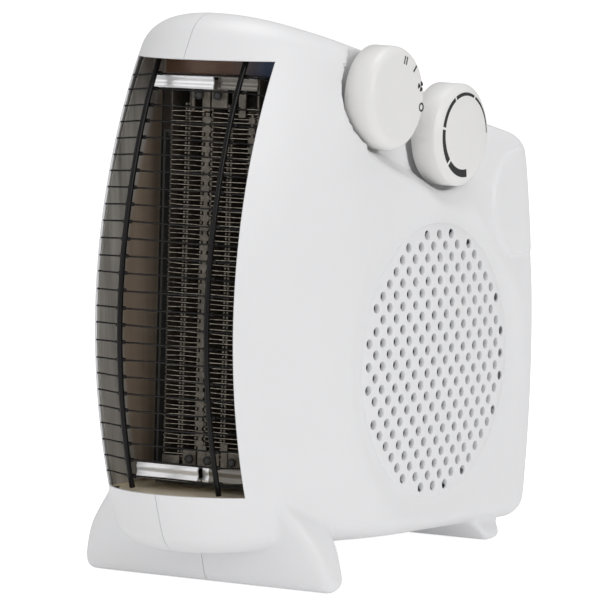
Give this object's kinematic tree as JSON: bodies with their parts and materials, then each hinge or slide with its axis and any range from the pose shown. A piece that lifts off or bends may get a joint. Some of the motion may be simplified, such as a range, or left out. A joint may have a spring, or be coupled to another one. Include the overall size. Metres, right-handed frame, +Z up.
{
  "type": "fan heater",
  "caption": "Upright portable fan heater: white two-part casing on two foot bars, curved black wire outlet grille over a wire element, round side inlet grilles and two knobs.",
  "frame": {"origin": "bottom centre of the whole heater's bounding box, on the surface it stands on", "axes": "+Z up, -Y out of the outlet grille, +X out of the side that carries the knobs, along the fan's axis"},
  "size_m": [0.1314, 0.2162, 0.246],
  "materials": {
    "bimetal": "bimetal strip",
    "black_moulding": "black moulding",
    "black_wire": "black coated steel wire",
    "brass_tab": "brass",
    "bright_sheet": "bright rolled sheet, heat tinted",
    "bronze": "sintered bronze",
    "copper_winding": "enamelled copper",
    "fan_plastic": "moulded fan",
    "grey_moulding": "heat-resistant moulding",
    "laminations": "stacked laminations",
    "lead_sleeve": "silicone-sleeved lead",
    "mica": "mica board",
    "porcelain": "glazed ceramic",
    "resistance_wire": "oxidised nickel-chrome wire",
    "steel": "zinc-plated steel",
    "white_knob": "satin moulded ABS, black printed dial marks",
    "white_shell": "satin moulded ABS"
  },
  "bodies": {
    "casing": {"shell_right": "white_shell", "shell_left": "white_shell", "inlet_grille_right": "white_shell", "inlet_grille_left": "white_shell", "case_screws": "steel", "front_grille": "black_wire", "air_duct": "bright_sheet", "fan_housing_right": "grey_moulding", "fan_housing_left": "grey_moulding", "mica_boards": "mica", "front_ribbon": "resistance_wire", "back_ribbon": "resistance_wire", "bracket_top": "bright_sheet", "bracket_bottom": "bright_sheet", "bracket_rivets": "steel", "stator_core": "laminations", "motor_coil": "copper_winding", "motor_plate_outer": "steel", "bush_outer": "bronze", "motor_plate_inner": "steel", "bush_inner": "bronze", "motor_screws": "steel", "rotary_switch": "black_moulding", "switch_terminals": "brass_tab", "thermostat_base": "porcelain", "thermostat_blade": "bimetal", "thermostat_contact": "brass_tab", "cord_gland": "black_moulding", "cord_clamp": "white_shell", "terminal_block": "porcelain", "lead_wires": "lead_sleeve", "thermal_cutout": "black_moulding", "thermal_fuse": "bright_sheet"},
    "function_dial": {"function_knob": "white_knob", "function_spindle": "grey_moulding"},
    "thermostat_dial": {"thermostat_knob": "white_knob", "thermostat_spindle": "steel"},
    "fan": {"impeller": "fan_plastic", "motor_shaft": "steel", "rotor_core": "laminations"}
  },
  "joints": [
    {"name": "function_turn", "type": "hinge", "parent": "casing", "child": "function_dial", "pos_m": [0.05885, -0.01446, 0.20701], "axis": [-1, 0, 0], "range_deg": [0, 90]},
    {"name": "thermostat_turn", "type": "hinge", "parent": "casing", "child": "thermostat_dial", "pos_m": [0.05885, 0.03853, 0.18568], "axis": [-1, 0, 0], "range_deg": [0, 270]},
    {"name": "fan_spin", "type": "hinge", "parent": "casing", "child": "fan", "pos_m": [-0.00115, 0.0213, 0.08849], "axis": [1, 0, 0], "continuous": true}
  ]
}
